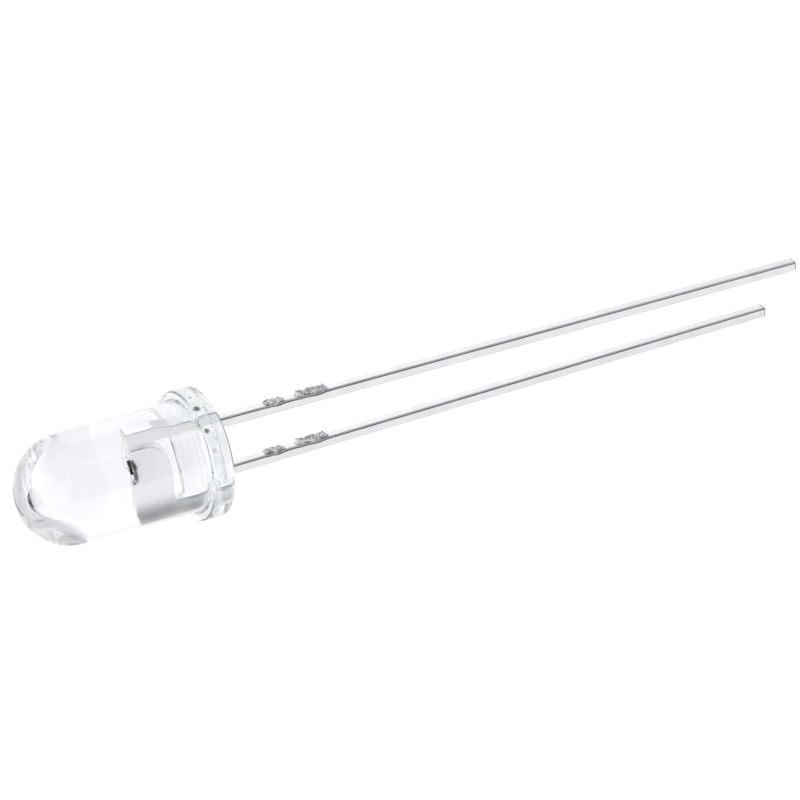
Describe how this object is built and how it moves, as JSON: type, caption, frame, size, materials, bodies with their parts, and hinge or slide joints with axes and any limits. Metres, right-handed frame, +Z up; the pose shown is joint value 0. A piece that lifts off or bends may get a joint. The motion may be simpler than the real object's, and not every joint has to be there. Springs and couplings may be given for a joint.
{
  "type": "through hole led",
  "caption": "Round clear-lens light-emitting diode: a flanged resin barrel with a domed end, cast round stamped leads that carry the chip's cup and the wire's post.",
  "frame": {"origin": "centre of the flange's rear face, the seat, on the lens's axis, midway between the leads", "axes": "+X towards the lead tips, level; +Y across the flange; +Z up, with the part lying at rest, so that the lens's axis slopes 3.26 degrees down towards +X"},
  "size_m": [0.0399, 0.0058, 0.0057],
  "materials": {
    "clear_resin": "water-clear cast epoxy, polished by the mould",
    "plated_lead": "silver-plated steel with sheared edges",
    "silver_paste": "cured silver-filled epoxy",
    "chip": "sawn semiconductor, dark, smooth top",
    "gold_wire": "drawn gold"
  },
  "bodies": {
    "root": {"lens": "clear_resin", "cathode_lead": "plated_lead", "anode_lead": "plated_lead", "die_attach": "silver_paste", "chip": "chip", "bond_wire": "gold_wire"}
  },
  "joints": []
}
